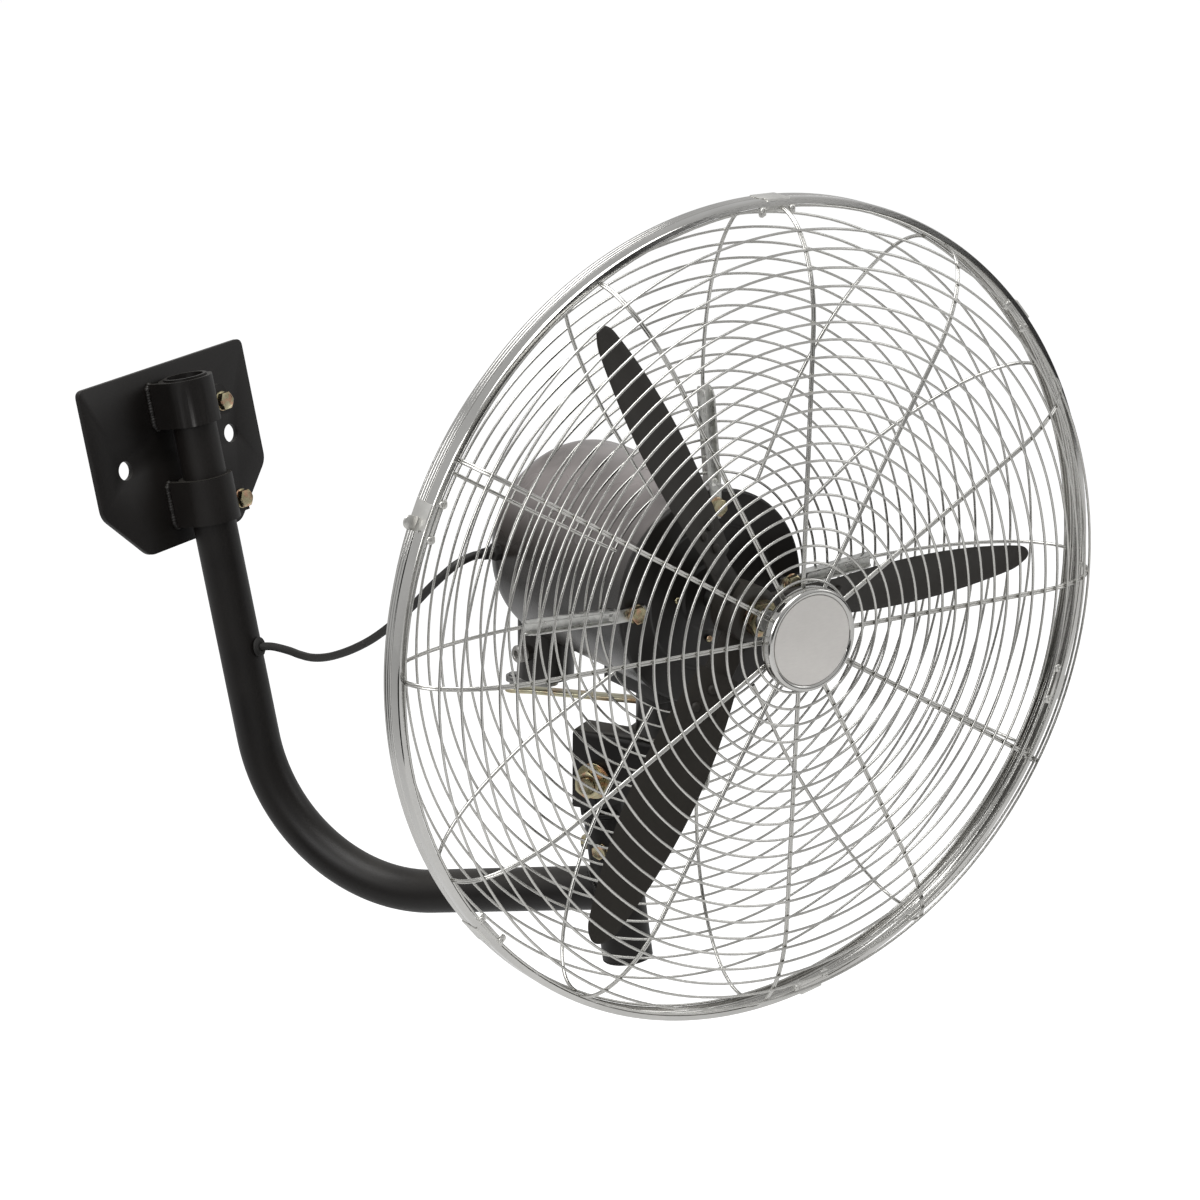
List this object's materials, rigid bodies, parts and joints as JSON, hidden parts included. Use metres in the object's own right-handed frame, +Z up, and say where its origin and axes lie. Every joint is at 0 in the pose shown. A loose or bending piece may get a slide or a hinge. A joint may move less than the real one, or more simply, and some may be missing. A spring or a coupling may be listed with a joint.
{
  "type": "wall mounted fan",
  "caption": "Oscillating wall fan: round wire cage with narrow blades and motor on a tilting post, carried by a bent pipe arm clamped to a wall plate.",
  "frame": {"origin": "centre of the wall plate's back face, where it rests on the wall", "axes": "+Z up, +Y into the wall, +X to the right of someone facing the wall; the fan blows towards -Y"},
  "size_m": [0.7193, 0.8134, 0.7487],
  "materials": {
    "black_coat": "black powder coat, satin",
    "blade_paint": "matt black paint",
    "motor_paint": "dark grey enamel, satin",
    "cast_metal": "as cast",
    "yellow_zinc": "yellow zinc plating",
    "galvanised": "galvanised",
    "chrome_wire": "bright chrome plated wire",
    "machined_steel": "machined",
    "core_steel": "laminated steel, varnished",
    "winding_copper": "varnished copper winding",
    "gear_bronze": "machined bronze",
    "rubber": "moulded rubber",
    "lead_sheath": "black sheath",
    "badge_metal": "satin disc with a polished edge"
  },
  "bodies": {
    "wall_mount": {"wall_plate": "black_coat", "upper_collar": "black_coat", "lower_collar": "black_coat", "upper_clamp_bolt": "yellow_zinc", "lower_clamp_bolt": "yellow_zinc", "upper_clamp_nut": "yellow_zinc", "lower_clamp_nut": "yellow_zinc"},
    "arm": {"arm_tube": "black_coat", "lead_grommet": "rubber", "supply_lead": "lead_sheath", "post_tube": "black_coat", "post_end_cap": "black_coat", "tilt_knuckle": "black_coat", "knuckle_screw_side": "yellow_zinc", "knuckle_screw_rear": "yellow_zinc"},
    "neck": {"tilt_bracket": "black_coat", "tilt_washer_right": "yellow_zinc", "tilt_bolt": "yellow_zinc", "tilt_washer_left": "yellow_zinc", "tilt_nut": "yellow_zinc", "pan_spindle": "machined_steel", "spindle_nut": "yellow_zinc", "thrust_washer": "gear_bronze", "link_pivot_screw": "yellow_zinc"},
    "link": {"link_bar": "machined_steel"},
    "head": {"motor_can": "motor_paint", "front_shield": "motor_paint", "rear_bearing_plate": "cast_metal", "front_bearing": "machined_steel", "rear_bearing": "machined_steel", "stator_core": "core_steel", "winding_front": "winding_copper", "winding_rear": "winding_copper", "pan_lug": "motor_paint", "gear_housing": "motor_paint", "gearbox_cap": "cast_metal", "lead_gland": "rubber", "guard_arm_1": "galvanised", "guard_arm_2": "galvanised", "guard_arm_3": "galvanised", "guard_arm_4": "galvanised", "guard_bolt_1": "yellow_zinc", "guard_bolt_2": "yellow_zinc", "guard_bolt_3": "yellow_zinc", "guard_bolt_4": "yellow_zinc", "rear_guard": "chrome_wire", "front_guard": "chrome_wire", "rim_band": "chrome_wire", "badge": "badge_metal"},
    "crank": {"output_shaft": "machined_steel", "worm_wheel": "gear_bronze", "crank_arm": "machined_steel"},
    "rotor": {"blade_1": "blade_paint", "blade_2": "blade_paint", "blade_3": "blade_paint", "fan_hub": "blade_paint", "motor_shaft": "machined_steel", "hub_nut": "yellow_zinc", "rotor_core": "core_steel", "worm": "machined_steel"}
  },
  "joints": [
    {"name": "arm_swivel", "type": "hinge", "parent": "wall_mount", "child": "arm", "pos_m": [0, -0.034, 0], "axis": [0, 0, 1], "range_deg": [-40.5, 19.5]},
    {"name": "head_tilt", "type": "hinge", "parent": "arm", "child": "neck", "pos_m": [0.0685, -0.40362, -0.34336], "axis": [0.9833, 0.1822, 0], "range_deg": [-11.5, 20], "deforming": ["supply_lead"]},
    {"name": "head_pan", "type": "hinge", "parent": "neck", "child": "head", "pos_m": [0.07922, -0.46141, -0.35542], "axis": [0.0366, -0.1977, 0.9796], "range_deg": [0, 60], "deforming": ["supply_lead"]},
    {"name": "link_swing", "type": "hinge", "parent": "neck", "child": "link", "pos_m": [0.12991, -0.42213, -0.34939], "axis": [0.0366, -0.1977, 0.9796], "range_deg": [-0.5, 55.5]},
    {"name": "crank_turn", "type": "hinge", "parent": "head", "child": "crank", "pos_m": [0.09619, -0.36246, -0.12732], "axis": [0.0366, -0.1977, 0.9796], "range_deg": [-0.5, 175.5]},
    {"name": "rotor_spin", "type": "hinge", "parent": "head", "child": "rotor", "pos_m": [0.04222, -0.62397, -0.17808], "axis": [-0.337, -0.9252, -0.1741], "continuous": true}
  ],
  "couplings": [
    {"joint": "crank_turn", "follows": "head_pan", "ratio": 2.913},
    {"joint": "link_swing", "follows": "head_pan", "ratio": 0.913}
  ]
}
